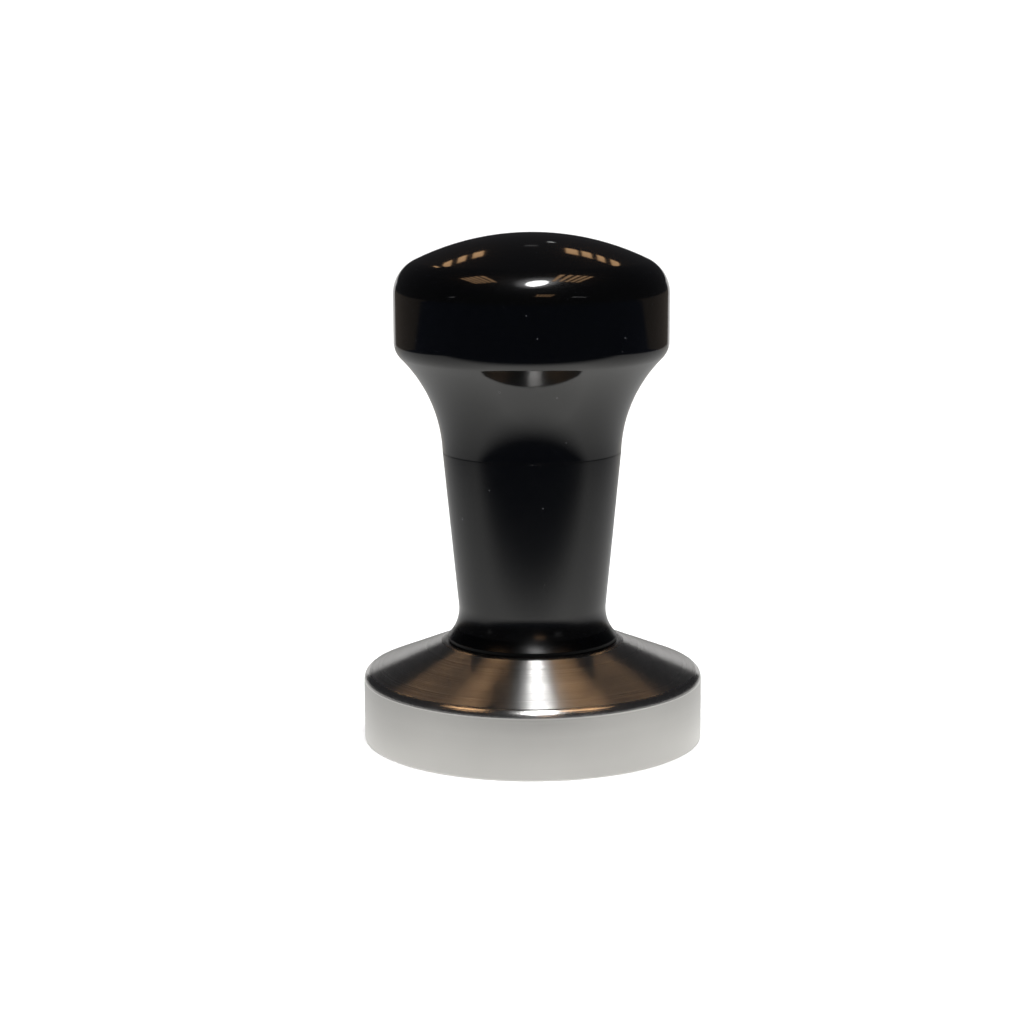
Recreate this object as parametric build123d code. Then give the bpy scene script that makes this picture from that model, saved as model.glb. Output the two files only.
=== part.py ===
from build123d import *

import math
import os

# Espresso tamper: a stainless steel base for a 58 mm filter basket, and a black handle in two
# turned pieces, a neck and a palm grip, drawn down onto the base by one M8 tie stud.
#
# The origin is the centre of the tamping face, at the bottom, and +Z points up the tamper's
# axis. All sizes are in millimetres, all angles in degrees. Each function below makes one piece
# in its place in the finished tamper. Outlines are given as (radius, height) points.

# ---- base ----
BASE_RADIUS = 29.0            # fits a 58 mm basket
BASE_CORNER_Z = 11.4          # where side and cone would meet if the rim weren't rounded
RIM_ROUND = 1.6
TAMPING_EDGE_CHAMFER = 0.3
CONE_SLOPE = 22.0             # above the horizontal
LEDGE_RADIUS = 15.2           # flat top of the cone, which carries the handle
LEDGE_CHAMFER = 0.5
SOCKET_DEPTH = 11.0           # tapped hole for the tie stud
SOCKET_COUNTERSINK = 0.5
DRILL_TIP_ANGLE = 118.0

# ---- tie stud, M8 x 1.25, and the hardware that locks it in the base ----
THREAD_RADIUS = 4.0
STUD_LENGTH = 60.0
STUD_END_CHAMFER = 0.9
STUD_BOTTOM_GAP = 0.5         # between the stud's end and the bottom of its socket
SHANK_RADIUS = 3.6            # plain stretch between the two threaded ends
SHANK_TAPER = 0.6
LOWER_THREAD_LENGTH = 19.0
UPPER_THREAD_LENGTH = 16.0
KEY_SOCKET_FLATS = 4.0        # hexagon socket in the stud's upper end
KEY_SOCKET_DEPTH = 4.0
WASHER_THICKNESS = 2.0        # split spring washer, held flat by the nut
WASHER_INNER_RADIUS = 4.1
WASHER_OUTER_RADIUS = 7.3
WASHER_SPLIT = 0.8
WASHER_SPLIT_LEAN = 20.0
NUT_FLATS = 13.0              # thin hexagon nut
NUT_HEIGHT = 4.0
NUT_CHAMFER_ANGLE = 30.0
NUT_COUNTERSINK = 0.4

# ---- thin rings in the handle's two joints ----
FOOT_RING_THICKNESS = 0.12
FOOT_RING_INNER_RADIUS = 8.2
FOOT_RING_OUTER_RADIUS = 14.35
WAIST_RING_THICKNESS = 0.2
WAIST_RING_INNER_RADIUS = 6.9
WAIST_RING_OUTER_RADIUS = 15.13

# ---- neck, the lower piece of the handle ----
NECK_TOP_Z = 49.55
NECK_TOP_RADIUS = 15.17
NECK_TAPER = 5.5              # from the vertical, widening upwards
FOOT_RADIUS = 14.5
FOOT_RIM_HEIGHT = 0.6
FOOT_SWEEP_RADIUS = 7.0       # concave sweep from the taper out to the foot's rim
SMALL_EDGE = 0.06             # softened edge at the foot
JOINT_EDGE = 0.02             # softened edges each side of the waist joint
NUT_POCKET_RADIUS = 7.9
NUT_POCKET_HEADROOM = 1.2     # above the nut

# ---- centre tube, which takes the clamping load and keeps neck and grip in line ----
TUBE_OUTER_RADIUS = 6.5
TUBE_INNER_RADIUS = 4.3
TUBE_CHAMFER = 0.4
SPIGOT_LENGTH = 3.3           # how far the tube stands up into the grip

# ---- palm grip, the upper piece of the handle ----
TOTAL_HEIGHT = 86.5
HEAD_RADIUS = 23.23
GRIP_BOTTOM_RADIUS = 15.18
FLARE_START_ANGLE = 2.4       # the flare's lean from the vertical, at its start,
FLARE_END_ANGLE = 44.8        # and where it meets the head's rounded underside
UNDERSIDE_ROUND = 3.8
SHOULDER_ROUND = 6.3
DOME_RADIUS = 45.2
RUNNING_GAP = 0.05            # radial, between pieces that turn on each other

# ---- threaded insert in the grip, with its locking keys ----
INSERT_RADIUS = 6.0
INSERT_LENGTH = 14.0
INSERT_CHAMFER = 0.5
INSERT_HEADROOM = 1.0         # free depth of the hole above the insert
KEY_COUNT = 4
KEY_WIDTH = 1.2
KEY_THICKNESS = 1.0           # radial, half in the insert and half in the grip
KEY_LENGTH = 7.0

# ---- heights that follow, from the bottom of the stack to its top ----
LEDGE_Z = BASE_CORNER_Z + (BASE_RADIUS - LEDGE_RADIUS) * math.tan(math.radians(CONE_SLOPE))
SOCKET_BOTTOM_Z = LEDGE_Z - SOCKET_DEPTH
STUD_BOTTOM_Z = SOCKET_BOTTOM_Z + STUD_BOTTOM_GAP
STUD_TOP_Z = STUD_BOTTOM_Z + STUD_LENGTH
WASHER_TOP_Z = LEDGE_Z + WASHER_THICKNESS
NUT_TOP_Z = WASHER_TOP_Z + NUT_HEIGHT
NUT_POCKET_TOP_Z = NUT_TOP_Z + NUT_POCKET_HEADROOM
FOOT_Z = LEDGE_Z + FOOT_RING_THICKNESS
FOOT_RIM_Z = FOOT_Z + FOOT_RIM_HEIGHT
GRIP_BOTTOM_Z = NECK_TOP_Z + WAIST_RING_THICKNESS
SPIGOT_TOP_Z = GRIP_BOTTOM_Z + SPIGOT_LENGTH
INSERT_TOP_Z = SPIGOT_TOP_Z + INSERT_LENGTH


def sine(angle):
    return math.sin(math.radians(angle))


def cosine(angle):
    return math.cos(math.radians(angle))


def tangent(angle):
    return math.tan(math.radians(angle))


def drill_tip_height(radius):
    """Height of the cone that a drill leaves at the end of a blind hole."""
    return radius / tangent(DRILL_TIP_ANGLE / 2)


def spin(*lines):
    """Turn a closed outline, drawn as lines and arcs, about the tamper's axis."""
    outline = make_face(Plane.XZ * (Curve() + list(lines)))
    return revolve(outline, Axis.Z)


def turned(*points):
    """Turn a closed outline that has straight sides only."""
    return spin(Polyline(*points, close=True))


def ring(inner_radius, outer_radius, bottom, top):
    """A flat ring of rectangular section."""
    return turned((inner_radius, bottom), (outer_radius, bottom), (outer_radius, top), (inner_radius, top))


def hexagon(flats, bottom, top):
    """An upright hexagonal bar, measured across its flats."""
    section = RegularPolygon(flats / 2, 6, major_radius=False)
    return extrude(Plane.XY.offset(bottom) * section, top - bottom)


def base():
    """Steel tamping disc: straight side, rounded rim, cone, flat ledge and tapped socket."""
    rim_turn = 90 - CONE_SLOPE
    side_top = BASE_CORNER_Z - RIM_ROUND * tangent(rim_turn / 2)
    rim = JernArc((BASE_RADIUS, side_top), (0, 1), RIM_ROUND, rim_turn)
    cone_top_radius = LEDGE_RADIUS + LEDGE_CHAMFER * cosine(CONE_SLOPE)
    cone_top_z = LEDGE_Z - LEDGE_CHAMFER * sine(CONE_SLOPE)
    outside = Polyline(
        (0, 0),
        (BASE_RADIUS - TAMPING_EDGE_CHAMFER, 0),
        (BASE_RADIUS, TAMPING_EDGE_CHAMFER),
        (BASE_RADIUS, side_top),
    )
    top_and_socket = Polyline(
        rim @ 1,
        (cone_top_radius, cone_top_z),
        (LEDGE_RADIUS - LEDGE_CHAMFER, LEDGE_Z),
        (THREAD_RADIUS + SOCKET_COUNTERSINK, LEDGE_Z),
        (THREAD_RADIUS, LEDGE_Z - SOCKET_COUNTERSINK),
        (THREAD_RADIUS, SOCKET_BOTTOM_Z),
        (0, SOCKET_BOTTOM_Z - drill_tip_height(THREAD_RADIUS)),
        (0, 0),
    )
    return spin(outside, rim, top_and_socket)


def tie_stud():
    """Double-ended stud: screwed into the base below and into the grip's insert above."""
    lower_thread_end = STUD_BOTTOM_Z + LOWER_THREAD_LENGTH
    upper_thread_start = STUD_TOP_Z - UPPER_THREAD_LENGTH
    stud = turned(
        (0, STUD_BOTTOM_Z),
        (THREAD_RADIUS - STUD_END_CHAMFER, STUD_BOTTOM_Z),
        (THREAD_RADIUS, STUD_BOTTOM_Z + STUD_END_CHAMFER),
        (THREAD_RADIUS, lower_thread_end),
        (SHANK_RADIUS, lower_thread_end + SHANK_TAPER),
        (SHANK_RADIUS, upper_thread_start - SHANK_TAPER),
        (THREAD_RADIUS, upper_thread_start),
        (THREAD_RADIUS, STUD_TOP_Z - STUD_END_CHAMFER),
        (THREAD_RADIUS - STUD_END_CHAMFER, STUD_TOP_Z),
        (0, STUD_TOP_Z),
    )
    return stud - hexagon(KEY_SOCKET_FLATS, STUD_TOP_Z - KEY_SOCKET_DEPTH, STUD_TOP_Z + 1)


def lock_washer():
    """Split spring washer under the lock nut."""
    washer = ring(WASHER_INNER_RADIUS, WASHER_OUTER_RADIUS, LEDGE_Z, WASHER_TOP_Z)
    reach = 2 * WASHER_OUTER_RADIUS
    slot = Box(reach, WASHER_SPLIT, reach, align=(Align.MIN, Align.CENTER, Align.CENTER))
    middle_z = (LEDGE_Z + WASHER_TOP_Z) / 2
    return washer - Pos(0, 0, middle_z) * Rot(WASHER_SPLIT_LEAN, 0, 0) * slot


def lock_nut():
    """Thin hexagon nut that locks the stud in the base, with its corners turned back."""
    flat_radius = NUT_FLATS / 2
    corner_radius = flat_radius / cosine(30)
    corner_drop = (corner_radius - flat_radius) * tangent(NUT_CHAMFER_ANGLE)
    blank = turned(
        (0, WASHER_TOP_Z),
        (flat_radius, WASHER_TOP_Z),
        (corner_radius, WASHER_TOP_Z + corner_drop),
        (corner_radius, NUT_TOP_Z - corner_drop),
        (flat_radius, NUT_TOP_Z),
        (0, NUT_TOP_Z),
    )
    bore = turned(
        (0, WASHER_TOP_Z),
        (THREAD_RADIUS + NUT_COUNTERSINK, WASHER_TOP_Z),
        (THREAD_RADIUS, WASHER_TOP_Z + NUT_COUNTERSINK),
        (THREAD_RADIUS, NUT_TOP_Z - NUT_COUNTERSINK),
        (THREAD_RADIUS + NUT_COUNTERSINK, NUT_TOP_Z),
        (0, NUT_TOP_Z),
    )
    return blank & hexagon(NUT_FLATS, WASHER_TOP_Z, NUT_TOP_Z) - bore


def foot_ring():
    """Thin fibre ring between the base's ledge and the handle's foot."""
    return ring(FOOT_RING_INNER_RADIUS, FOOT_RING_OUTER_RADIUS, LEDGE_Z, FOOT_Z)


def lower_neck():
    """Tapering neck with a flared foot, a pocket over the nut and a straight bore."""
    taper_top = (NECK_TOP_RADIUS, NECK_TOP_Z - JOINT_EDGE)
    rim_corner = (FOOT_RADIUS - SMALL_EDGE, FOOT_RIM_Z)
    # The foot's sweep is a circle through the rim's corner that is tangent to the taper. The
    # corner stands this far outside the taper's line, which fixes the circle's centre.
    standoff = (rim_corner[0] - taper_top[0]) * cosine(NECK_TAPER)
    standoff -= (rim_corner[1] - taper_top[1]) * sine(NECK_TAPER)
    across = FOOT_SWEEP_RADIUS - standoff
    along = math.sqrt(FOOT_SWEEP_RADIUS**2 - across**2)
    taper_bottom = (
        rim_corner[0] - standoff * cosine(NECK_TAPER) + along * sine(NECK_TAPER),
        rim_corner[1] + standoff * sine(NECK_TAPER) + along * cosine(NECK_TAPER),
    )
    sweep_turn = math.degrees(math.acos(across / FOOT_SWEEP_RADIUS))
    down_the_taper = (-sine(NECK_TAPER), -cosine(NECK_TAPER))
    sweep = JernArc(taper_bottom, down_the_taper, FOOT_SWEEP_RADIUS, sweep_turn)
    foot_and_bore = Polyline(
        sweep @ 1,
        (FOOT_RADIUS, FOOT_RIM_Z - SMALL_EDGE),
        (FOOT_RADIUS, FOOT_Z + SMALL_EDGE),
        (FOOT_RADIUS - SMALL_EDGE, FOOT_Z),
        (NUT_POCKET_RADIUS, FOOT_Z),
        (NUT_POCKET_RADIUS, NUT_POCKET_TOP_Z),
        (TUBE_OUTER_RADIUS, NUT_POCKET_TOP_Z),
        (TUBE_OUTER_RADIUS, NECK_TOP_Z),
        (NECK_TOP_RADIUS - JOINT_EDGE, NECK_TOP_Z),
        taper_top,
    )
    return spin(Line(taper_top, taper_bottom), sweep, foot_and_bore)


def centre_tube():
    """Aluminium tube pressed through the neck, from the nut up into the grip's recess."""
    return turned(
        (TUBE_INNER_RADIUS, NUT_TOP_Z),
        (TUBE_OUTER_RADIUS - TUBE_CHAMFER, NUT_TOP_Z),
        (TUBE_OUTER_RADIUS, NUT_TOP_Z + TUBE_CHAMFER),
        (TUBE_OUTER_RADIUS, SPIGOT_TOP_Z - TUBE_CHAMFER),
        (TUBE_OUTER_RADIUS - TUBE_CHAMFER, SPIGOT_TOP_Z),
        (TUBE_INNER_RADIUS, SPIGOT_TOP_Z),
    )


def waist_ring():
    """Thin ring in the joint between neck and grip, set back a little from the surface."""
    return ring(WAIST_RING_INNER_RADIUS, WAIST_RING_OUTER_RADIUS, NECK_TOP_Z, GRIP_BOTTOM_Z)


def insert_keys():
    """Locking keys pressed down beside the insert, so that it can't turn in the grip."""
    align = (Align.CENTER, Align.CENTER, Align.MIN)
    key = Pos(INSERT_RADIUS, 0, SPIGOT_TOP_Z) * Box(KEY_THICKNESS, KEY_WIDTH, KEY_LENGTH, align=align)
    return [Rot(0, 0, turn * 360 / KEY_COUNT) * key for turn in range(KEY_COUNT)]


def thread_insert():
    """Brass insert, threaded outside into the grip and inside for the tie stud."""
    insert = turned(
        (THREAD_RADIUS + RUNNING_GAP, SPIGOT_TOP_Z + INSERT_CHAMFER),
        (THREAD_RADIUS + RUNNING_GAP + INSERT_CHAMFER, SPIGOT_TOP_Z),
        (INSERT_RADIUS, SPIGOT_TOP_Z),
        (INSERT_RADIUS, INSERT_TOP_Z - INSERT_CHAMFER),
        (INSERT_RADIUS - INSERT_CHAMFER, INSERT_TOP_Z),
        (THREAD_RADIUS + RUNNING_GAP, INSERT_TOP_Z),
    )
    return insert - insert_keys()


def upper_grip():
    """Palm grip: flare, rounded underside, straight side, shoulder and dome, bored below."""
    # The flare's arc is as large as it takes to end flush with the head's side.
    underside_gain = UNDERSIDE_ROUND * (1 - cosine(FLARE_END_ANGLE))
    flare_gain = HEAD_RADIUS - GRIP_BOTTOM_RADIUS - underside_gain
    flare_radius = flare_gain / (cosine(FLARE_START_ANGLE) - cosine(FLARE_END_ANGLE))
    flare_turn = FLARE_END_ANGLE - FLARE_START_ANGLE

    # The shoulder's arc touches the head's side below and the dome's sphere above.
    dome_centre_z = TOTAL_HEIGHT - DOME_RADIUS
    centre_distance = DOME_RADIUS - SHOULDER_ROUND
    shoulder_offset = HEAD_RADIUS - SHOULDER_ROUND
    shoulder_turn = math.degrees(math.acos(shoulder_offset / centre_distance))
    shoulder_z = dome_centre_z + centre_distance * sine(shoulder_turn)

    flare_start = (GRIP_BOTTOM_RADIUS, GRIP_BOTTOM_Z + JOINT_EDGE)
    flare_direction = (sine(FLARE_START_ANGLE), cosine(FLARE_START_ANGLE))
    flare = JernArc(flare_start, flare_direction, flare_radius, -flare_turn)
    underside = JernArc(flare @ 1, flare % 1, UNDERSIDE_ROUND, FLARE_END_ANGLE)
    side = Line(underside @ 1, (HEAD_RADIUS, shoulder_z))
    shoulder = JernArc(side @ 1, (0, 1), SHOULDER_ROUND, shoulder_turn)
    dome = CenterArc((0, dome_centre_z), DOME_RADIUS, shoulder_turn, 90 - shoulder_turn)

    recess_radius = TUBE_OUTER_RADIUS + RUNNING_GAP
    hole_top = INSERT_TOP_Z + INSERT_HEADROOM
    bottom_and_hole = Polyline(
        (0, TOTAL_HEIGHT),
        (0, hole_top + drill_tip_height(INSERT_RADIUS)),
        (INSERT_RADIUS, hole_top),
        (INSERT_RADIUS, SPIGOT_TOP_Z),
        (recess_radius, SPIGOT_TOP_Z),
        (recess_radius, GRIP_BOTTOM_Z),
        (GRIP_BOTTOM_RADIUS - JOINT_EDGE, GRIP_BOTTOM_Z),
        flare_start,
    )
    grip = spin(flare, underside, side, shoulder, dome, bottom_and_hole)
    return grip - insert_keys()


PIECES = {
    "base": base,
    "tie_stud": tie_stud,
    "lock_washer": lock_washer,
    "lock_nut": lock_nut,
    "foot_ring": foot_ring,
    "lower_neck": lower_neck,
    "centre_tube": centre_tube,
    "waist_ring": waist_ring,
    "upper_grip": upper_grip,
    "thread_insert": thread_insert,
    "insert_keys": insert_keys,
}

os.makedirs("parts", exist_ok=True)
for name, make in PIECES.items():
    piece = make()
    if isinstance(piece, list):
        piece = Compound(children=piece)
    export_step(piece, os.path.join("parts", name + ".step"))
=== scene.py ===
import math

import bmesh
import bpy
import numpy as np
from mathutils import Matrix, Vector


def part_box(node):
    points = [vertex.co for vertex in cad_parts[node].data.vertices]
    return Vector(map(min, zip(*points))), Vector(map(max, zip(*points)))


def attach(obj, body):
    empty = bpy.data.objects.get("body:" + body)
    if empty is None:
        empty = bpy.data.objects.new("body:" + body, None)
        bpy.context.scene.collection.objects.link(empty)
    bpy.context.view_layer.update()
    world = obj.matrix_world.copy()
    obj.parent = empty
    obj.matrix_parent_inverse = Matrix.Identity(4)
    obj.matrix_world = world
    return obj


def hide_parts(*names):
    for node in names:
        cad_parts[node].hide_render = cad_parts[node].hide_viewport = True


# An espresso tamper in a small studio. Every piece that shows is turned or shaped here, around
# the CAD frame, whose own sizes and heights it takes. Outlines are (radius, height) points in
# millimetres, like the CAD model's; meshes are in metres.

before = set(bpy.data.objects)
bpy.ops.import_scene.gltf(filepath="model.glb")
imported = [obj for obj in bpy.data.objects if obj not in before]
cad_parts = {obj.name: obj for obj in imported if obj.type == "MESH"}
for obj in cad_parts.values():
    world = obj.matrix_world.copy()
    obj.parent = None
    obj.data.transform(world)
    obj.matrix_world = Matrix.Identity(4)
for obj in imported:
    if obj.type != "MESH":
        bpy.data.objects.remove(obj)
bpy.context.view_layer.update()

MM = 0.001
SEGMENTS = 256                # round a lathe-turned piece
ARC_STEP = 2.5                # degrees between points on an outline's arc
CREASE = 20.0                 # outline corners sharper than this stay sharp, in degrees

# ---- shape of the base ----
RIM_ROUND = 1.6
CONE_SLOPE = 22.0
TAMPING_EDGE_ROUND = 0.3
LEDGE_RADIUS = 15.2
LEDGE_ROUND = 0.5             # how far down the cone the ledge's rounding starts
SOCKET_DEPTH = 11.0
SOCKET_COUNTERSINK = 0.5
DRILL_TIP_ANGLE = 118.0

# ---- shape of the hardware ----
THREAD_PITCH = 1.25
THREAD_DEPTH = 0.68
THREAD_CREST_SHARE = 0.16     # flat part of a thread's crest, as a share of the pitch
THREAD_ROOT_SHARE = 0.22      # and flat part of its root
STUD_END_CHAMFER = 0.9
SHANK_RADIUS = 3.6
SHANK_TAPER = 0.6
LOWER_THREAD_LENGTH = 19.0
UPPER_THREAD_LENGTH = 16.0
KEY_SOCKET_FLATS = 4.0
KEY_SOCKET_DEPTH = 4.0
NUT_FLATS = 13.0
NUT_CHAMFER_ANGLE = 30.0
NUT_COUNTERSINK = 0.4
WASHER_BORE_RADIUS = 4.1
WASHER_SPLIT = 0.8
WASHER_SPLIT_LEAN = 20.0
WASHER_EDGE = 0.15

# ---- shape of the rings ----
FOOT_RING_BORE_RADIUS = 8.2
WAIST_RING_BORE_RADIUS = 6.9
RING_EDGE = 0.015

# ---- shape of the neck ----
NECK_TAPER = 5.5
FOOT_RADIUS = 14.5
FOOT_RIM_HEIGHT = 0.6
FOOT_SWEEP_RADIUS = 7.0
FOOT_EDGE = 0.06
JOINT_EDGE = 0.02
NUT_POCKET_RADIUS = 7.9
NUT_POCKET_HEADROOM = 1.2
TUBE_RADIUS = 6.5

# ---- shape of the grip ----
GRIP_BOTTOM_RADIUS = 15.18
FLARE_START_ANGLE = 2.4       # the flare's lean from the vertical, at its start,
FLARE_END_ANGLE = 44.8        # and where it meets the head's rounded underside
UNDERSIDE_ROUND = 3.8
SHOULDER_ROUND = 6.3
DOME_RADIUS = 45.2
RUNNING_GAP = 0.05
INSERT_RADIUS = 6.0
INSERT_HEADROOM = 1.0

# ---- camera ----
CAMERA_DISTANCE = 0.40503     # from the tamper's axis, level
CAMERA_HEIGHT = 0.11358
CAMERA_TILT = 10.434          # down from level, degrees
CAMERA_YAW = 0.484            # to the left
CAMERA_ROLL = -0.264
LENS = 84.9
SENSOR = 36.0


def sine(angle):
    return math.sin(math.radians(angle))


def cosine(angle):
    return math.cos(math.radians(angle))


def tangent(angle):
    return math.tan(math.radians(angle))


def extent(node):
    """A CAD node's outer radius, bottom and top, in millimetres."""
    low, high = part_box(node)
    return high.x / MM, low.z / MM, high.z / MM


def top_of_base_side():
    """Height at which the base's straight side turns into its rim, in millimetres."""
    radius, _, top = extent("base")
    corner = top - (radius - LEDGE_RADIUS) * tangent(CONE_SLOPE)
    return corner - RIM_ROUND * tangent((90 - CONE_SLOPE) / 2)


def arc(start, heading, radius, turn):
    """Points after start on an arc that sets off at heading and turns by turn, left if positive.
    Angles are in degrees, with a heading of 0 pointing outwards and 90 pointing up."""
    side = math.copysign(1, turn)
    centre_r = start[0] - side * radius * sine(heading)
    centre_z = start[1] + side * radius * cosine(heading)
    steps = max(2, math.ceil(abs(turn) / ARC_STEP))
    headings = [heading + turn * step / steps for step in range(1, steps + 1)]
    return [
        (centre_r + side * radius * sine(h), centre_z - side * radius * cosine(h))
        for h in headings
    ]


# ---------------------------------------------------------------- meshes

def mesh_piece(name, points, faces):
    """A smooth-shaded mesh object, with the edges of its corners kept sharp."""
    mesh = bpy.data.meshes.new(name)
    mesh.from_pydata([tuple(point) for point in points], [], faces)
    outward = bmesh.new()
    outward.from_mesh(mesh)
    bmesh.ops.recalc_face_normals(outward, faces=outward.faces)
    outward.to_mesh(mesh)
    outward.free()
    mesh.shade_smooth()
    mesh.set_sharp_from_angle(angle=math.radians(CREASE))
    piece = bpy.data.objects.new(name, mesh)
    bpy.context.scene.collection.objects.link(piece)
    return piece


def closed_loft(name, rings):
    """Joins rings of points, each as long as the next, into a closed tube, last ring to first."""
    count = len(rings)
    around = len(rings[0])
    faces = []
    for i in range(count):
        j = (i + 1) % count
        for k in range(around):
            m = (k + 1) % around
            faces.append((i * around + k, i * around + m, j * around + m, j * around + k))
    return mesh_piece(name, np.concatenate(rings) * MM, faces)


def capped_loft(name, rings, bottom, top):
    """Joins rings of points, from the lowest to the highest, and closes both ends on the axis."""
    around = len(rings[0])
    points = np.concatenate([*rings, [bottom], [top]]) * MM
    faces = []
    for i in range(len(rings) - 1):
        for k in range(around):
            m = (k + 1) % around
            low = i * around
            faces.append((low + k, low + m, low + around + m, low + around + k))
    last = (len(rings) - 1) * around
    bottom_point = len(points) - 2
    top_point = len(points) - 1
    for k in range(around):
        m = (k + 1) % around
        faces.append((bottom_point, m, k))
        faces.append((top_point, last + k, last + m))
    return mesh_piece(name, points, faces)


def ring_of_points(radius, height, segments):
    """A ring of points about the axis. The radius is a number, or one number per segment."""
    turn = np.arange(segments) * 2 * math.pi / segments
    x = radius * np.cos(turn)
    y = radius * np.sin(turn)
    return np.stack([x, y, np.full(segments, height)], axis=1)


def turned(name, outline, segments=SEGMENTS):
    """Turns a closed outline about the axis. An outline that starts and ends on the axis makes a
    solid piece, and any other a piece with a hole through it."""
    on_axis = outline[0][0] == 0 and outline[-1][0] == 0
    if on_axis:
        rings = [ring_of_points(r, z, segments) for r, z in outline[1:-1]]
        return capped_loft(name, rings, (0, 0, outline[0][1]), (0, 0, outline[-1][1]))
    rings = [ring_of_points(r, z, segments) for r, z in outline]
    return closed_loft(name, rings)


def hexagon_radius(flats, segments):
    """Distance from the axis to an upright hexagonal bar's surface, one number per segment."""
    turn = np.arange(segments) * 360 / segments
    from_flat = (turn + 30) % 60 - 30
    return flats / 2 / np.cos(np.radians(from_flat))


# ---------------------------------------------------------------- pieces

def make_base():
    """Tamping base: straight side, rounded rim, cone and ledge, with the stud's blind hole."""
    radius, bottom, top = extent("base")
    side_top = top_of_base_side()
    stud_radius = extent("tie_stud")[0]
    socket_bottom = top - SOCKET_DEPTH
    tip = stud_radius / tangent(DRILL_TIP_ANGLE / 2)

    cone_end = (
        LEDGE_RADIUS + LEDGE_ROUND * cosine(CONE_SLOPE),
        top - LEDGE_ROUND * sine(CONE_SLOPE),
    )
    tamping_edge = (radius - TAMPING_EDGE_ROUND, bottom)
    outline = [(0, bottom), tamping_edge]
    outline += arc(tamping_edge, 0, TAMPING_EDGE_ROUND, 90)
    outline.append((radius, side_top))
    outline += arc((radius, side_top), 90, RIM_ROUND, 90 - CONE_SLOPE)
    outline.append(cone_end)
    outline += arc(cone_end, 180 - CONE_SLOPE, LEDGE_ROUND / tangent(CONE_SLOPE / 2), CONE_SLOPE)
    outline += [
        (stud_radius + SOCKET_COUNTERSINK, top),
        (stud_radius, top - SOCKET_COUNTERSINK),
        (stud_radius, socket_bottom),
        (0, socket_bottom - tip),
    ]
    return turned("tamping_base", outline)


def thread_cut(height, turn, top):
    """How far the thread's surface lies below its crest, at that height and turn (in radians)
    about the axis."""
    phase = ((top - height) / THREAD_PITCH + turn / (2 * math.pi)) % 1.0
    from_crest = np.abs(phase - 0.5) * 2
    flank = (from_crest - THREAD_CREST_SHARE) / (1 - THREAD_CREST_SHARE - THREAD_ROOT_SHARE)
    return THREAD_DEPTH * np.clip(flank, 0, 1)


def make_stud():
    """Double-ended stud with a real helical thread at both ends and a hexagon socket on top."""
    segments = 72
    rows_per_pitch = 18
    radius, bottom, top = extent("tie_stud")
    lower_end = bottom + LOWER_THREAD_LENGTH
    upper_start = top - UPPER_THREAD_LENGTH
    turn = np.arange(segments) * 2 * math.pi / segments
    step = THREAD_PITCH / rows_per_pitch

    def threaded(height):
        """The stud's radius at that height, one number per segment."""
        from_end = min(height - bottom, top - height)
        crest = radius - max(0, STUD_END_CHAMFER - from_end)
        into_shank = max(height - lower_end, upper_start - height)
        if into_shank > 0 and lower_end < height < upper_start:
            crest = radius - (radius - SHANK_RADIUS) * min(1, into_shank / SHANK_TAPER)
        return np.minimum(crest, radius - thread_cut(height, turn, top))

    lower_heights = np.arange(bottom, lower_end + SHANK_TAPER, step)
    upper_heights = np.arange(top, upper_start - SHANK_TAPER, -step)[::-1]
    rings = [ring_of_points(threaded(z), z, segments) for z in lower_heights]
    shank_bottom = lower_heights[-1] + step
    shank_top = upper_heights[0] - step
    rings.append(ring_of_points(SHANK_RADIUS, shank_bottom, segments))
    rings.append(ring_of_points(SHANK_RADIUS, shank_top, segments))
    rings += [ring_of_points(threaded(z), z, segments) for z in upper_heights]
    socket = hexagon_radius(KEY_SOCKET_FLATS, segments)
    socket_bottom = top - KEY_SOCKET_DEPTH
    rings.append(ring_of_points(socket, top, segments))
    rings.append(ring_of_points(socket, socket_bottom, segments))
    tip = socket_bottom - KEY_SOCKET_FLATS / 2 / tangent(DRILL_TIP_ANGLE / 2)
    return capped_loft("tie_stud_m8", rings, (0, 0, bottom), (0, 0, tip))


def make_nut():
    """Thin hexagon nut, its corners turned back at both faces."""
    segments = 144
    chamfer_rows = 6
    _, bottom, top = extent("lock_nut")
    bore = extent("tie_stud")[0]
    flats = hexagon_radius(NUT_FLATS, segments)
    corner = NUT_FLATS / 2 / cosine(30)
    corner_drop = (corner - NUT_FLATS / 2) * tangent(NUT_CHAMFER_ANGLE)
    rings = []
    for row in range(chamfer_rows + 1):
        rise = corner_drop * row / chamfer_rows
        cone = NUT_FLATS / 2 + rise / tangent(NUT_CHAMFER_ANGLE)
        rings.append(ring_of_points(np.minimum(flats, cone), bottom + rise, segments))
    rings += [ring * (1, 1, -1) + (0, 0, bottom + top) for ring in rings[::-1]]
    rings += [
        ring_of_points(bore + NUT_COUNTERSINK, top, segments),
        ring_of_points(bore, top - NUT_COUNTERSINK, segments),
        ring_of_points(bore, bottom + NUT_COUNTERSINK, segments),
        ring_of_points(bore + NUT_COUNTERSINK, bottom, segments),
    ]
    return closed_loft("lock_nut_m8", rings)


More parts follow.
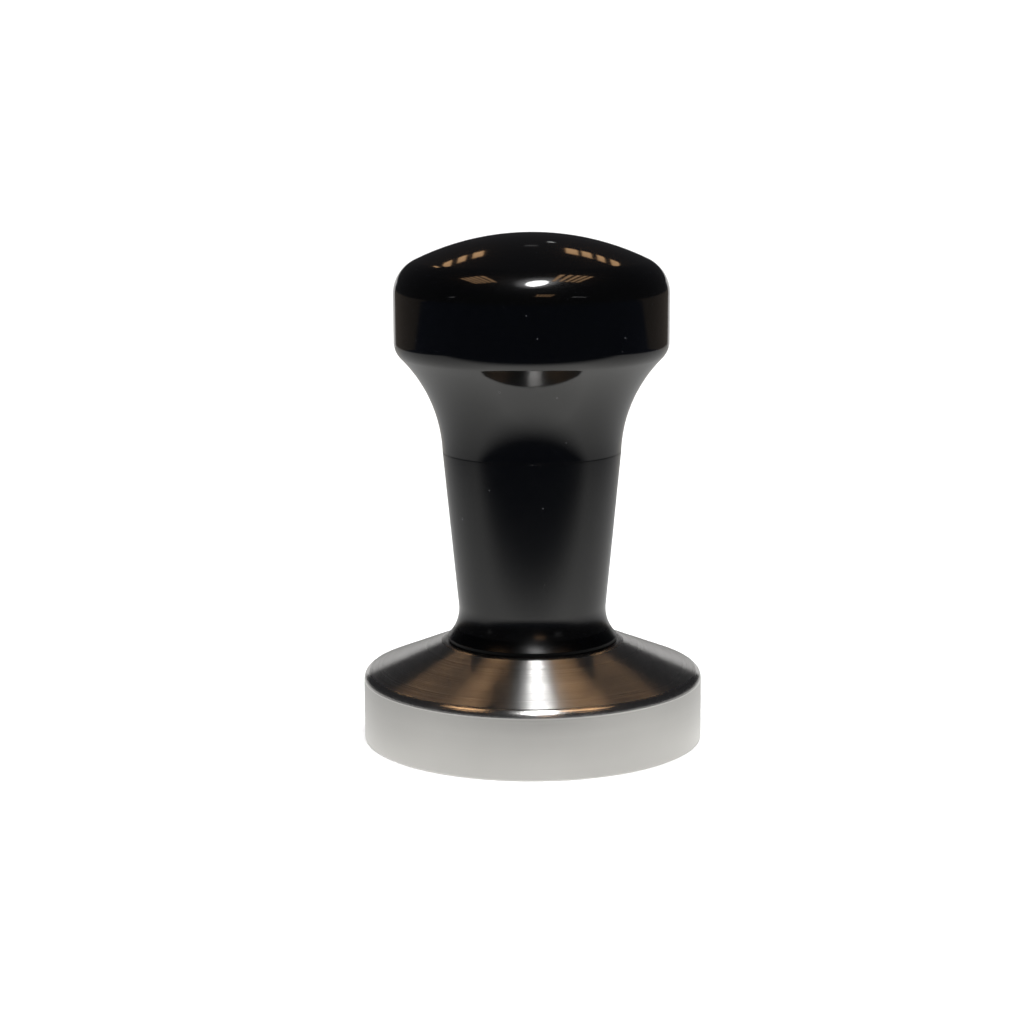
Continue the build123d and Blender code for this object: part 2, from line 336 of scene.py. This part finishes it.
def make_washer():
    """Split spring washer, held flat, with softened edges and a leaning split."""
    segments = 160
    radius, bottom, top = extent("lock_washer")
    middle = (bottom + top) / 2
    bore = WASHER_BORE_RADIUS
    section = [
        (bore + WASHER_EDGE, bottom),
        (radius - WASHER_EDGE, bottom),
        (radius, bottom + WASHER_EDGE),
        (radius, top - WASHER_EDGE),
        (radius - WASHER_EDGE, top),
        (bore + WASHER_EDGE, top),
        (bore, top - WASHER_EDGE),
        (bore, bottom + WASHER_EDGE),
    ]
    points = []
    for step in range(segments + 1):
        share = step / segments
        for r, z in section:
            lean = -(z - middle) * tangent(WASHER_SPLIT_LEAN)
            first = math.asin((WASHER_SPLIT / 2 + lean) / r)
            last = 2 * math.pi + math.asin((lean - WASHER_SPLIT / 2) / r)
            turn = first + (last - first) * share
            points.append((r * math.cos(turn), r * math.sin(turn), z))
    corners = len(section)
    last_section = range(segments * corners, (segments + 1) * corners)
    faces = [tuple(range(corners)), tuple(reversed(last_section))]
    for step in range(segments):
        for i in range(corners):
            j = (i + 1) % corners
            here = step * corners
            there = here + corners
            faces.append((here + j, here + i, there + i, there + j))
    return mesh_piece("spring_washer", np.array(points) * MM, faces)


def make_ring(name, node, bore):
    """A thin flat ring with softened edges."""
    radius, bottom, top = extent(node)
    outline = [
        (bore, bottom),
        (radius - RING_EDGE, bottom),
        (radius, bottom + RING_EDGE),
        (radius, top - RING_EDGE),
        (radius - RING_EDGE, top),
        (bore, top),
    ]
    return turned(name, outline)


def make_neck():
    """Tapering neck with a flared foot, hollow over the nut and bored for the centre tube."""
    top_radius, bottom, top = extent("lower_neck")
    pocket_top = extent("lock_nut")[2] + NUT_POCKET_HEADROOM
    taper_top = (top_radius, top - JOINT_EDGE)
    rim_corner = (FOOT_RADIUS - FOOT_EDGE, bottom + FOOT_RIM_HEIGHT)
    # The sweep is a circle through the rim's corner that is tangent to the taper's line. The
    # corner's distance outside that line fixes where the two meet.
    standoff = (rim_corner[0] - taper_top[0]) * cosine(NECK_TAPER)
    standoff -= (rim_corner[1] - taper_top[1]) * sine(NECK_TAPER)
    along = math.sqrt(FOOT_SWEEP_RADIUS**2 - (FOOT_SWEEP_RADIUS - standoff) ** 2)
    taper_bottom = (
        rim_corner[0] - standoff * cosine(NECK_TAPER) + along * sine(NECK_TAPER),
        rim_corner[1] + standoff * sine(NECK_TAPER) + along * cosine(NECK_TAPER),
    )
    sweep_turn = math.degrees(math.acos(1 - standoff / FOOT_SWEEP_RADIUS))
    down_the_taper = 270 - NECK_TAPER
    outline = [
        (rim_corner[0], bottom),
        (NUT_POCKET_RADIUS, bottom),
        (NUT_POCKET_RADIUS, pocket_top),
        (TUBE_RADIUS, pocket_top),
        (TUBE_RADIUS, top),
        (top_radius - JOINT_EDGE, top),
    ]
    outline += arc(outline[-1], 0, JOINT_EDGE, -90)
    outline.append(taper_bottom)
    outline += arc(taper_bottom, down_the_taper, FOOT_SWEEP_RADIUS, sweep_turn)
    outline += arc(rim_corner, 0, FOOT_EDGE, -90)
    outline.append((FOOT_RADIUS, bottom + FOOT_EDGE))
    outline += arc(outline[-1], 270, FOOT_EDGE, -90)[:-1]
    return turned("neck", outline[::-1])


def make_grip():
    """Palm grip: flare, rounded underside, straight side, shoulder and dome, bored below."""
    head_radius, bottom, top = extent("upper_grip")
    spigot_top = extent("centre_tube")[2]
    hole_top = extent("thread_insert")[2] + INSERT_HEADROOM
    hole_tip = hole_top + INSERT_RADIUS / tangent(DRILL_TIP_ANGLE / 2)
    recess = TUBE_RADIUS + RUNNING_GAP

    # The flare's arc is as large as it takes to end flush with the head's side.
    underside_gain = UNDERSIDE_ROUND * (1 - cosine(FLARE_END_ANGLE))
    flare_gain = head_radius - GRIP_BOTTOM_RADIUS - underside_gain
    flare_radius = flare_gain / (cosine(FLARE_START_ANGLE) - cosine(FLARE_END_ANGLE))
    flare_turn = FLARE_END_ANGLE - FLARE_START_ANGLE

    # The shoulder's arc touches the head's side below and the dome's sphere above.
    dome_centre = top - DOME_RADIUS
    centre_distance = DOME_RADIUS - SHOULDER_ROUND
    shoulder_turn = math.degrees(math.acos((head_radius - SHOULDER_ROUND) / centre_distance))
    shoulder_z = dome_centre + centre_distance * sine(shoulder_turn)

    outline = [
        (0, hole_tip),
        (INSERT_RADIUS, hole_top),
        (INSERT_RADIUS, spigot_top),
        (recess, spigot_top),
        (recess, bottom),
        (GRIP_BOTTOM_RADIUS - JOINT_EDGE, bottom),
    ]
    outline += arc(outline[-1], 0, JOINT_EDGE, 90)
    outline += arc(outline[-1], 90 - FLARE_START_ANGLE, flare_radius, -flare_turn)
    outline += arc(outline[-1], 90 - FLARE_END_ANGLE, UNDERSIDE_ROUND, FLARE_END_ANGLE)
    outline.append((head_radius, shoulder_z))
    outline += arc(outline[-1], 90, SHOULDER_ROUND, shoulder_turn)
    outline += arc(outline[-1], 90 + shoulder_turn, DOME_RADIUS, 90 - shoulder_turn)[:-1]
    outline.append((0, top))
    return turned("palm_grip", outline)


# ---------------------------------------------------------------- materials

BLACK = (0.0004, 0.0005, 0.0007)
BLACK_LINES = 9000.0          # lathe lines to a metre
BLACK_LINE_DEPTH = 0.00001    # in metres
BLACK_CLOUDS = 55.0           # slow changes of the gloss, to a metre:
BLACK_CLOUD_SPAN = (0.3, 0.75)     # as their noise runs through this range,
BLACK_GLOSS_SPAN = (0.85, 1.2)     # the roughness is this share of its own value
HAZE = 0.2                    # how much of a soft second gloss lies on the polished black,
HAZE_ROUGHNESS = 0.36         # and how soft it is
FOOT_TOP = 2.2                # height of the neck's dull foot, in millimetres

DUST = (0.07, 0.073, 0.077)
DUST_CELLS = 260.0            # to a metre: each holds one grain, which shows if a surface cuts it
GRAIN_CORE = 0.02             # radius of a grain's full colour, as a share of its cell,
GRAIN_EDGE = 0.045            # and where the grain ends

# The darkest and the lightest colour of each metal.
BRIGHT_STEEL = ((0.47, 0.465, 0.455), (0.53, 0.52, 0.51))
SATIN_STEEL = ((0.43, 0.425, 0.415), (0.48, 0.475, 0.465))
# The ledge's colours are painted far darker than the cone's steel: painted shade under the foot
# and a painted dark reflection of the black foot above it.
LEDGE_STEEL_PAINTED_SHADE = ((0.24, 0.235, 0.23), (0.30, 0.295, 0.29))
FACED_STEEL = ((0.54, 0.53, 0.52), (0.60, 0.59, 0.58))
HARDWARE_STEEL = ((0.46, 0.45, 0.44), (0.58, 0.57, 0.56))
ALUMINIUM = ((0.74, 0.74, 0.75), (0.82, 0.82, 0.83))
BRASS = ((0.72, 0.50, 0.20), (0.83, 0.60, 0.27))
METAL_CLOUDS = 70.0           # slow changes of the colour, to a metre
METAL_LINES = 4000.0          # lathe lines to a metre:
METAL_LINE_SPAN = (0.3, 0.7)       # as their noise runs through this range,
METAL_GLOSS_SPAN = (0.93, 1.07)    # the roughness is this share of its own value

QUARTER_TURN = 0.25           # of the gloss, so that it spreads across the lathe lines


def new_material(name):
    """A material with a Principled shader, its nodes and its links."""
    material = bpy.data.materials.new(name)
    material.use_nodes = True
    return material, material.node_tree.nodes, material.node_tree.links


def object_place(nodes):
    return nodes.new("ShaderNodeTexCoord").outputs["Object"]


def calculate(nodes, links, operation, *values):
    """The result of a Math node. Each value is a number or a socket."""
    node = nodes.new("ShaderNodeMath")
    node.operation = operation
    for value, socket in zip(values, node.inputs):
        if isinstance(value, float):
            socket.default_value = value
        else:
            links.new(value, socket)
    return node.outputs["Value"]


def vector_math(nodes, links, operation, *vectors):
    """A Vector Math node, with those sockets linked to its first inputs."""
    node = nodes.new("ShaderNodeVectorMath")
    node.operation = operation
    for vector, socket in zip(vectors, node.inputs):
        links.new(vector, socket)
    return node


def noise(nodes, links, vector, scale, detail, roughness=0.5):
    texture = nodes.new("ShaderNodeTexNoise")
    texture.inputs["Scale"].default_value = scale
    texture.inputs["Detail"].default_value = detail
    texture.inputs["Roughness"].default_value = roughness
    links.new(vector, texture.inputs["Vector"])
    return texture.outputs["Fac"]


def remap(nodes, links, value, old_range, new_range):
    """Turns the ends of the old range into the ends of the new one, and what is between too."""
    node = nodes.new("ShaderNodeMapRange")
    node.inputs["From Min"].default_value = old_range[0]
    node.inputs["From Max"].default_value = old_range[1]
    node.inputs["To Min"].default_value = new_range[0]
    node.inputs["To Max"].default_value = new_range[1]
    links.new(value, node.inputs["Value"])
    return node.outputs["Result"]


def blend_colours(nodes, links, share, first, second):
    ramp = nodes.new("ShaderNodeValToRGB")
    ramp.color_ramp.elements[0].color = (*first, 1)
    ramp.color_ramp.elements[1].color = (*second, 1)
    links.new(share, ramp.inputs["Fac"])
    return ramp.outputs["Color"]


def bump(nodes, links, height, strength, distance):
    node = nodes.new("ShaderNodeBump")
    node.inputs["Strength"].default_value = strength
    node.inputs["Distance"].default_value = distance
    links.new(height, node.inputs["Height"])
    return node.outputs["Normal"]


def radius_and_height(nodes, links, place):
    """A point's distance from the tamper's axis, and its height."""
    flatten = nodes.new("ShaderNodeMapping")
    flatten.inputs["Scale"].default_value = (1, 1, 0)
    links.new(place, flatten.inputs["Vector"])
    distance = vector_math(nodes, links, "LENGTH", flatten.outputs["Vector"])
    split = nodes.new("ShaderNodeSeparateXYZ")
    links.new(place, split.inputs["Vector"])
    return distance.outputs["Value"], split.outputs["Z"]


def lathe_lines(nodes, links, place, per_metre):
    """Fine lines round the axis, as a tool leaves them: they vary with radius and height only."""
    distance, height = radius_and_height(nodes, links, place)
    join = nodes.new("ShaderNodeCombineXYZ")
    links.new(distance, join.inputs["X"])
    links.new(height, join.inputs["Y"])
    return noise(nodes, links, join.outputs["Vector"], per_metre, detail=3.0, roughness=0.65)


def along_the_lines(nodes):
    """The surface's direction along its lathe lines."""
    along = nodes.new("ShaderNodeTangent")
    along.direction_type = "RADIAL"
    along.axis = "Z"
    return along.outputs["Tangent"]


def grooved_normal(nodes, links, place, pitch, slope):
    """The normal of fine turned grooves round the axis. Each groove, a pitch wide in millimetres,
    leans by its own random share of the slope."""
    distance, height = radius_and_height(nodes, links, place)
    along_outline = calculate(nodes, links, "ADD", distance, height)
    groove = calculate(nodes, links, "SNAP", along_outline, pitch * MM)
    chance = nodes.new("ShaderNodeTexWhiteNoise")
    chance.noise_dimensions = "1D"
    links.new(groove, chance.inputs["W"])
    lean = remap(nodes, links, chance.outputs["Value"], (0.0, 1.0), (-slope, slope))
    normal = nodes.new("ShaderNodeNewGeometry").outputs["Normal"]
    across = vector_math(nodes, links, "CROSS_PRODUCT", normal, along_the_lines(nodes))
    leaning = vector_math(nodes, links, "SCALE", across.outputs["Vector"])
    links.new(lean, leaning.inputs["Scale"])
    total = vector_math(nodes, links, "ADD", normal, leaning.outputs["Vector"])
    return vector_math(nodes, links, "NORMALIZE", total.outputs["Vector"]).outputs["Vector"]


def vary(nodes, links, value, span, middle, shares):
    """A number near the middle one. It goes from the first to the second share of that, as the
    value goes through the span."""
    first, second = shares
    return remap(nodes, links, value, span, (middle * first, middle * second))


def turned_surface(nodes, links, colour, roughness, normal, anisotropy):
    """Sets those on the shader, which spreads highlights across the lathe lines."""
    shader = nodes["Principled BSDF"]
    links.new(colour, shader.inputs["Base Color"])
    links.new(roughness, shader.inputs["Roughness"])
    links.new(normal, shader.inputs["Normal"])
    links.new(along_the_lines(nodes), shader.inputs["Tangent"])
    shader.inputs["Anisotropic"].default_value = anisotropy
    shader.inputs["Anisotropic Rotation"].default_value = QUARTER_TURN
    return shader


def black_gloss(name, roughness, line_strength, specular=0.5, anisotropy=0.0):
    """Polished black acetal: deep gloss with a faint haze, fine lathe lines, and a few specks of
    dust."""
    material, nodes, links = new_material(name)
    place = object_place(nodes)
    grains = nodes.new("ShaderNodeTexVoronoi")
    grains.inputs["Scale"].default_value = DUST_CELLS
    links.new(place, grains.inputs["Vector"])
    from_grain = grains.outputs["Distance"]
    dust_share = remap(nodes, links, from_grain, (GRAIN_CORE, GRAIN_EDGE), (1.0, 0.0))
    colour = blend_colours(nodes, links, dust_share, BLACK, DUST)
    cloud = noise(nodes, links, place, BLACK_CLOUDS, detail=4.0)
    rough = vary(nodes, links, cloud, BLACK_CLOUD_SPAN, roughness, BLACK_GLOSS_SPAN)
    lines = lathe_lines(nodes, links, place, BLACK_LINES)
    normal = bump(nodes, links, lines, line_strength, BLACK_LINE_DEPTH)
    shader = turned_surface(nodes, links, colour, rough, normal, anisotropy)
    shader.inputs["IOR"].default_value = 1.5
    shader.inputs["Specular IOR Level"].default_value = specular
    shader.inputs["Coat Weight"].default_value = HAZE * specular
    shader.inputs["Coat Roughness"].default_value = HAZE_ROUGHNESS
    return material


def metal(name, colours, roughness, anisotropy, pitch, slope):
    """Metal cut on a lathe. Its grooves run round the axis and spread highlights across
    themselves. The pitch is the width of a groove in millimetres."""
    material, nodes, links = new_material(name)
    place = object_place(nodes)
    cloud = noise(nodes, links, place, METAL_CLOUDS, detail=5.0, roughness=0.6)
    colour = blend_colours(nodes, links, cloud, *colours)
    lines = lathe_lines(nodes, links, place, METAL_LINES)
    rough = vary(nodes, links, lines, METAL_LINE_SPAN, roughness, METAL_GLOSS_SPAN)
    normal = grooved_normal(nodes, links, place, pitch, slope)
    shader = turned_surface(nodes, links, colour, rough, normal, anisotropy)
    shader.inputs["Metallic"].default_value = 1.0
    return material


def dress(piece, material):
    piece.data.materials.clear()
    piece.data.materials.append(material)


def dress_in_bands(piece, bands):
    """Gives each face the material of the band of height that it is in. The bands go upwards, as
    (top of the band in millimetres, material), and the last also takes what is above it."""
    piece.data.materials.clear()
    for _, material in bands:
        piece.data.materials.append(material)
    for face in piece.data.polygons:
        height = face.center.z / MM
        tops_below = [top for top, _ in bands if top < height]
        face.material_index = min(len(tops_below), len(bands) - 1)


# ---------------------------------------------------------------- studio

# Places and sizes are in metres. X is to the right and Y away from the camera.

# ---- lamps ----
CEILING = 1.5                 # height of the lamps
BARS_IN_ROW = 5               # in a lamp with even bars,
BAR_SHARE = 0.5               # and how much of the row they take
WARM = (1.0, 0.60, 0.31)
NEUTRAL = (1.0, 1.0, 1.0)
KEY_PLACE = (0.088, -0.75)
KEY_TURN = 73.0               # of its long axis, degrees
KEY_LENGTH = 0.645
KEY_WIDTH = 0.36
KEY_POWER = 16.5
KEY_GLOW = 4.5
KEY_GLOW_LENGTH = 0.75        # half the oval's length,
KEY_GLOW_WIDTH = 0.46         # and half its width
KEY_GLOW_ABOVE = 0.01         # how far the glow is above the key
SKY_STRENGTH = 4.3
SKY_SPREAD = 50.0             # degrees

# ---- white sheet that the tamper reflects ----
SHEET_COLOUR = (1.35, 1.34, 1.30)
SHEET_FRONT = -0.108          # the sheet ends here in front,
SHEET_FRONT_FULL = -0.046     # and is whole from here on
SHEET_SIDE = 0.29             # it ends this far out at the sides,
SHEET_SIDE_FULL = 0.23        # and is whole up to here
SHEET_BRIGHT_AT = (0.008, -0.035, 0.0)
SHEET_BRIGHT_TO = 0.040       # it is at its brightest this far from there, and then it dims
SHEET_DIMMING = -0.6          # as this power of the distance
RISE_PLACE = 0.42             # where the sheet curves up, far behind
RISE_HALF_WIDTH = 0.20
RISE_HEIGHT = 0.10
RISE_COLOUR = (1.0, 0.99, 0.98)
RISE_STRENGTH = 0.8

# ---- table under the sheet, floor and room ----
TABLE_FRONT = (0.028, 0.034, 0.052)
TABLE_BACK = (0.105, 0.090, 0.078)
TABLE_FRONT_TO = 0.16         # the colour changes from here
TABLE_BACK_FROM = 0.24        # to here
FLOOR_HALF_WIDTH = 3.0
FLOOR_WHITE = 0.86
FLOOR_HEIGHT = -0.00002       # just under the tamper and under the floor that it reflects
REFLECTED_FLOOR_HEIGHT = -0.00001
ROOM = (0.028, 0.028, 0.030)
BACKGROUND = 1.2              # strength of the white that the camera sees


def glow_material(name):
    """An emission shader on its own, whose colour is set or linked by the caller."""
    material = bpy.data.materials.new(name)
    material.use_nodes = True
    nodes = material.node_tree.nodes
    links = material.node_tree.links
    nodes.clear()
    glow = nodes.new("ShaderNodeEmission")
    output = nodes.new("ShaderNodeOutputMaterial")
    links.new(glow.outputs["Emission"], output.inputs["Surface"])
    return material, nodes, links, glow


def level_square(half_width, height):
    return [
        (-half_width, -half_width, height),
        (half_width, -half_width, height),
        (half_width, half_width, height),
        (-half_width, half_width, height),
    ]


def stage_mesh(name, corners, material):
    """Four-cornered panels, each given as four points in a row, that aren't part of the object."""
    mesh = bpy.data.meshes.new(name)
    mesh.from_pydata(corners, [], [tuple(range(i, i + 4)) for i in range(0, len(corners), 4)])
    mesh.materials.append(material)
    panels = bpy.data.objects.new(name, mesh)
    bpy.context.scene.collection.objects.link(panels)
    return panels


def only_in_reflections(thing):
    thing.visible_camera = False
    thing.visible_diffuse = False
    thing.visible_transmission = False
    thing.visible_volume_scatter = False
    thing.visible_shadow = False


def reflected_card(name, corners, colour, strength):
    """Glowing panels that only show in reflections."""
    material, _, _, glow = glow_material(name)
    glow.inputs["Color"].default_value = (*colour, 1)
    glow.inputs["Strength"].default_value = strength
    only_in_reflections(stage_mesh(name, corners, material))


def even_bars(left, right):
    """Bars of light side by side, with even gaps between them."""
    pitch = (right - left) / BARS_IN_ROW
    starts = [left + pitch * (bar + (1 - BAR_SHARE) / 2) for bar in range(BARS_IN_ROW)]
    return [(start, start + pitch * BAR_SHARE) for start in starts]


def ceiling_lamp(name, bars, near, far, strength, colour=WARM):
    """Parallel bars of light in the ceiling. Their sides and ends are slopes from the tamper: how
    far to the right, or behind the tamper, for each unit of height."""
    corners = []
    for left, right in bars:
        outline = [(left, near), (right, near), (right, far), (left, far)]
        corners += [(x * CEILING, y * CEILING, CEILING) for x, y in outline]
    reflected_card(name, corners, colour, strength)


def make_key():
    """The one strong lamp: an oval above and in front, which makes the dome's highlight."""
    light = bpy.data.lights.new("key", "AREA")
    light.shape = "ELLIPSE"
    light.size = KEY_LENGTH
    light.size_y = KEY_WIDTH
    light.energy = KEY_POWER
    lamp = bpy.data.objects.new("key", light)
    lamp.location = (*KEY_PLACE, CEILING)
    lamp.rotation_euler.z = math.radians(KEY_TURN)
    lamp.visible_camera = False
    bpy.context.scene.collection.objects.link(lamp)


def make_key_glow():
    """The glow on the ceiling round the key, an oval that fades out from its middle."""
    material, nodes, links, glow = glow_material("key_glow")
    from_middle = vector_math(nodes, links, "LENGTH", object_place(nodes)).outputs["Value"]
    strength = remap(nodes, links, from_middle, (0.0, 1.0), (KEY_GLOW, 0.0))
    strength.node.interpolation_type = "SMOOTHSTEP"
    links.new(strength, glow.inputs["Strength"])
    card = stage_mesh("key_glow", level_square(1.0, 0.0), material)
    card.location = (*KEY_PLACE, CEILING + KEY_GLOW_ABOVE)
    card.rotation_euler.z = math.radians(KEY_TURN)
    card.scale = (KEY_GLOW_LENGTH, KEY_GLOW_WIDTH, 1.0)
    only_in_reflections(card)


def make_sky_light():
    """Even light from straight above, which keeps the floor white and shows in no reflection."""
    light = bpy.data.lights.new("sky", "SUN")
    light.energy = SKY_STRENGTH
    light.angle = math.radians(SKY_SPREAD)
    lamp = bpy.data.objects.new("sky", light)
    lamp.visible_camera = False
    lamp.visible_glossy = False
    bpy.context.scene.collection.objects.link(lamp)


def make_floor():
    """The pale floor that the camera sees. The tamper reflects another, just above it."""
    material, nodes, _ = new_material("pale_floor")
    shader = nodes["Principled BSDF"]
    shader.inputs["Base Color"].default_value = (FLOOR_WHITE, FLOOR_WHITE, FLOOR_WHITE, 1)
    shader.inputs["Roughness"].default_value = 0.9
    shader.inputs["Specular IOR Level"].default_value = 0.0
    floor = stage_mesh("floor", level_square(FLOOR_HALF_WIDTH, FLOOR_HEIGHT), material)
    floor.visible_glossy = False


def make_reflected_floor():
    """What stands for the floor in reflections: a white sheet on a table. The sheet fades out at
    the front and the sides, and dims with distance. The table is dark in front and brown-grey
    behind."""
    material, nodes, links, glow = glow_material("floor_in_reflections")
    place = object_place(nodes)
    split = nodes.new("ShaderNodeSeparateXYZ")
    links.new(place, split.inputs["Vector"])

    def fade(value, nothing_at, full_at):
        share = remap(nodes, links, value, (nothing_at, full_at), (0.0, 1.0))
        share.node.interpolation_type = "SMOOTHSTEP"
        return share

    front = fade(split.outputs["Y"], SHEET_FRONT, SHEET_FRONT_FULL)
    across = calculate(nodes, links, "ABSOLUTE", split.outputs["X"])
    sides = fade(across, SHEET_SIDE, SHEET_SIDE_FULL)
    whole = calculate(nodes, links, "MULTIPLY", front, sides)
    away = vector_math(nodes, links, "DISTANCE", place)
    away.inputs[1].default_value = SHEET_BRIGHT_AT
    distance = calculate(nodes, links, "DIVIDE", away.outputs["Value"], SHEET_BRIGHT_TO)
    dimming = calculate(nodes, links, "POWER", distance, SHEET_DIMMING)
    dimmed = calculate(nodes, links, "MINIMUM", dimming, 1.0)
    sheet = calculate(nodes, links, "MULTIPLY", whole, dimmed)
    behind = fade(split.outputs["Y"], TABLE_FRONT_TO, TABLE_BACK_FROM)
    table = blend_colours(nodes, links, behind, TABLE_FRONT, TABLE_BACK)
    mix = nodes.new("ShaderNodeMix")
    mix.data_type = "RGBA"
    under, over = [socket for socket in mix.inputs if socket.type == "RGBA"]
    links.new(sheet, mix.inputs["Factor"])
    links.new(table, under)
    over.default_value = (*SHEET_COLOUR, 1)
    mixed = next(socket for socket in mix.outputs if socket.type == "RGBA")
    links.new(mixed, glow.inputs["Color"])
    corners = level_square(FLOOR_HALF_WIDTH, REFLECTED_FLOOR_HEIGHT)
    only_in_reflections(stage_mesh("floor_in_reflections", corners, material))


def make_world():
    """White to the camera and dim in reflections."""
    world = bpy.data.worlds.new("studio")
    bpy.context.scene.world = world
    world.use_nodes = True
    nodes = world.node_tree.nodes
    links = world.node_tree.links
    nodes.clear()
    path = nodes.new("ShaderNodeLightPath")
    dim = nodes.new("ShaderNodeBackground")
    dim.inputs["Color"].default_value = (*ROOM, 1)
    white = nodes.new("ShaderNodeBackground")
    white.inputs["Color"].default_value = (1, 1, 1, 1)
    white.inputs["Strength"].default_value = BACKGROUND
    mix = nodes.new("ShaderNodeMixShader")
    links.new(path.outputs["Is Camera Ray"], mix.inputs["Fac"])
    links.new(dim.outputs["Background"], mix.inputs[1])
    links.new(white.outputs["Background"], mix.inputs[2])
    output = nodes.new("ShaderNodeOutputWorld")
    links.new(mix.outputs["Shader"], output.inputs["Surface"])
    bpy.context.scene.view_settings.view_transform = "Standard"


def make_ceiling_lamps():
    """The reflections on the dome and the cone. A bar is (left, right), and the numbers after a
    lamp's bars are near, far and strength."""
    rear_left = [(-0.57, -0.52), (-0.45, -0.40), (-0.365, -0.32), (-0.285, -0.23)]
    rear_right = [(0.165, 0.225), (0.245, 0.295), (0.325, 0.365), (0.40, 0.45)]
    ceiling_lamp("lamp_rear_left", rear_left, 1.16, 1.44, 2.2)
    ceiling_lamp("lamp_rear_right", rear_right, 1.16, 1.44, 2.1)
    ceiling_lamp("lamp_front_left", even_bars(-0.70, -0.36), -0.33, 0.10, 3.9)
    ceiling_lamp("lamp_front_right", even_bars(0.19, 0.56), -0.33, 0.10, 3.9)
    ceiling_lamp("lamp_far_front", even_bars(0.13, 0.66), -2.3, -1.7, 3.0)
    ceiling_lamp("spot_rear", [(0.085, 0.115)], 1.83, 1.88, 3.0, NEUTRAL)
    ceiling_lamp("spot_middle", [(-0.03, 0.03)], 1.42, 1.48, 0.3, NEUTRAL)
    ceiling_lamp("far_streak_left", [(-4.7, -3.7)], -1.7, -1.5, 1.4, NEUTRAL)
    ceiling_lamp("far_streak_right", [(1.6, 2.4)], -2.4, -2.2, 1.5, NEUTRAL)


def make_studio():
    make_world()
    make_floor()
    make_reflected_floor()
    sheet_rise = [
        (-RISE_HALF_WIDTH, RISE_PLACE, 0),
        (RISE_HALF_WIDTH, RISE_PLACE, 0),
        (RISE_HALF_WIDTH, RISE_PLACE, RISE_HEIGHT),
        (-RISE_HALF_WIDTH, RISE_PLACE, RISE_HEIGHT),
    ]
    reflected_card("sheet_rising_behind", sheet_rise, RISE_COLOUR, RISE_STRENGTH)
    make_ceiling_lamps()
    make_key()
    make_key_glow()
    make_sky_light()


def make_camera():
    data = bpy.data.cameras.new("camera")
    data.lens = LENS
    data.sensor_width = SENSOR
    data.clip_start = 0.01
    camera = bpy.data.objects.new("camera", data)
    turn = Matrix.Rotation(math.radians(CAMERA_YAW), 4, "Z")
    tilt = Matrix.Rotation(math.radians(90 - CAMERA_TILT), 4, "X")
    roll = Matrix.Rotation(math.radians(CAMERA_ROLL), 4, "Z")
    place = Matrix.Translation((0, -CAMERA_DISTANCE, CAMERA_HEIGHT))
    camera.matrix_world = place @ turn @ tilt @ roll
    bpy.context.scene.collection.objects.link(camera)
    bpy.context.scene.camera = camera


# ---------------------------------------------------------------- assembly

def fit(piece, node, body):
    """Makes a piece ride on a body, in the place of that CAD node."""
    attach(piece, body)
    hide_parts(node)


base = make_base()
stud = make_stud()
washer = make_washer()
nut = make_nut()
foot_ring = make_ring("foot_joint_ring", "foot_ring", FOOT_RING_BORE_RADIUS)
neck = make_neck()
waist_ring = make_ring("waist_joint_ring", "waist_ring", WAIST_RING_BORE_RADIUS)
grip = make_grip()

# The two numbers are the roughness and the strength of the lathe lines.
grip_black = black_gloss("grip_gloss", 0.06, 0.1)
neck_black = black_gloss("neck_gloss", 0.15, 0.5, anisotropy=0.8)
foot_black = black_gloss("foot_satin", 0.27, 1.0, specular=0.105, anisotropy=0.5)
joint_black = black_gloss("black_fibre", 0.16, 0.5, specular=0.42, anisotropy=0.8)

# The two numbers without a name are the roughness and the anisotropy.
cone_steel = metal("turned_cone", BRIGHT_STEEL, 0.29, 1.0, pitch=0.009, slope=0.27)
rim_steel = metal("polished_rim", BRIGHT_STEEL, 0.20, 0.8, pitch=0.009, slope=0.16)
side_steel = metal("satin_side", SATIN_STEEL, 0.36, 0.4, pitch=0.009, slope=0.05)
# The ledge's dark colour is painted shade and a painted reflection of the black foot, not a tone
# of the steel.
ledge_steel_painted_shade = metal("ledge_painted_shade", LEDGE_STEEL_PAINTED_SHADE, 0.24, 0.3, pitch=0.02, slope=0.03)
face_steel = metal("faced_underside", FACED_STEEL, 0.25, 0.8, pitch=0.2, slope=0.2)
hardware = metal("machined_hardware", HARDWARE_STEEL, 0.27, 0.2, pitch=0.01, slope=0.08)
tube_metal = metal("drawn_tube", ALUMINIUM, 0.32, 0.6, pitch=0.1, slope=0.1)
brass = metal("turned_brass", BRASS, 0.25, 0.6, pitch=0.1, slope=0.15)

_, base_bottom, base_top = extent("base")
base_side_top = top_of_base_side()
base_bands = [
    (base_bottom + TAMPING_EDGE_ROUND / 2, face_steel),
    (base_side_top, side_steel),
    (base_side_top + RIM_ROUND * cosine(CONE_SLOPE), rim_steel),
    (base_top - LEDGE_ROUND * sine(CONE_SLOPE), cone_steel),
    (base_top, ledge_steel_painted_shade),
]
_, neck_bottom, neck_top = extent("lower_neck")
neck_bands = [(neck_bottom + FOOT_TOP, foot_black), (neck_top, neck_black)]

dress_in_bands(base, base_bands)
for piece in (stud, nut, washer):
    dress(piece, hardware)
for piece in (foot_ring, waist_ring):
    dress(piece, joint_black)
dress_in_bands(neck, neck_bands)
dress(grip, grip_black)

fit(base, "base", "base")
fit(stud, "tie_stud", "base")
fit(washer, "lock_washer", "base")
fit(nut, "lock_nut", "base")
fit(foot_ring, "foot_ring", "base")
fit(neck, "lower_neck", "neck")
fit(waist_ring, "waist_ring", "neck")
fit(grip, "upper_grip", "grip")

kept = {"centre_tube": tube_metal, "thread_insert": brass, "insert_keys": hardware}
for node, material in kept.items():
    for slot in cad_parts[node].material_slots:
        slot.material = material

make_studio()
make_camera()
